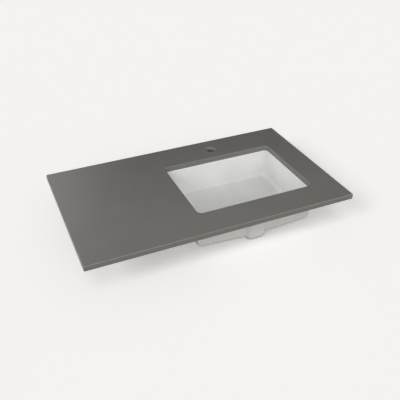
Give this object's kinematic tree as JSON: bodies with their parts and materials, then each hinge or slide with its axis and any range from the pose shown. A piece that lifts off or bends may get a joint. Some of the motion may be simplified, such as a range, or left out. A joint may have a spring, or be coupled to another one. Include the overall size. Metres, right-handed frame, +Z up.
{
  "type": "vanity sink top",
  "caption": "Stone vanity top with eased edges, an undermount rectangular basin with front overflow towards its right end, a tap hole behind it and clamps below.",
  "frame": {"origin": "on the slab's underside, midway along it, 20 mm in from the back edge: the middle of the cabinet's back rail", "axes": "+X along the slab towards the basin's end, +Y towards the wall behind the vanity, +Z up"},
  "size_m": [0.94, 0.559, 0.17],
  "materials": {
    "stone": "honed engineered quartz, warm grey with a fine grain",
    "china": "white gloss glaze",
    "sealant": "satin silicone",
    "brass": "machined",
    "steel": "zinc plated"
  },
  "bodies": {
    "root": {"stone_slab": "stone", "basin": "china", "sealant_bead": "sealant", "front_left_insert": "brass", "front_left_stud": "steel", "front_left_clip": "steel", "front_left_washer": "steel", "front_left_wing_nut": "steel", "front_right_insert": "brass", "front_right_stud": "steel", "front_right_clip": "steel", "front_right_washer": "steel", "front_right_wing_nut": "steel", "back_left_insert": "brass", "back_left_stud": "steel", "back_left_clip": "steel", "back_left_washer": "steel", "back_left_wing_nut": "steel", "back_right_insert": "brass", "back_right_stud": "steel", "back_right_clip": "steel", "back_right_washer": "steel", "back_right_wing_nut": "steel", "left_end_insert": "brass", "left_end_stud": "steel", "left_end_clip": "steel", "left_end_washer": "steel", "left_end_wing_nut": "steel", "right_end_insert": "brass", "right_end_stud": "steel", "right_end_clip": "steel", "right_end_washer": "steel", "right_end_wing_nut": "steel"}
  },
  "joints": []
}
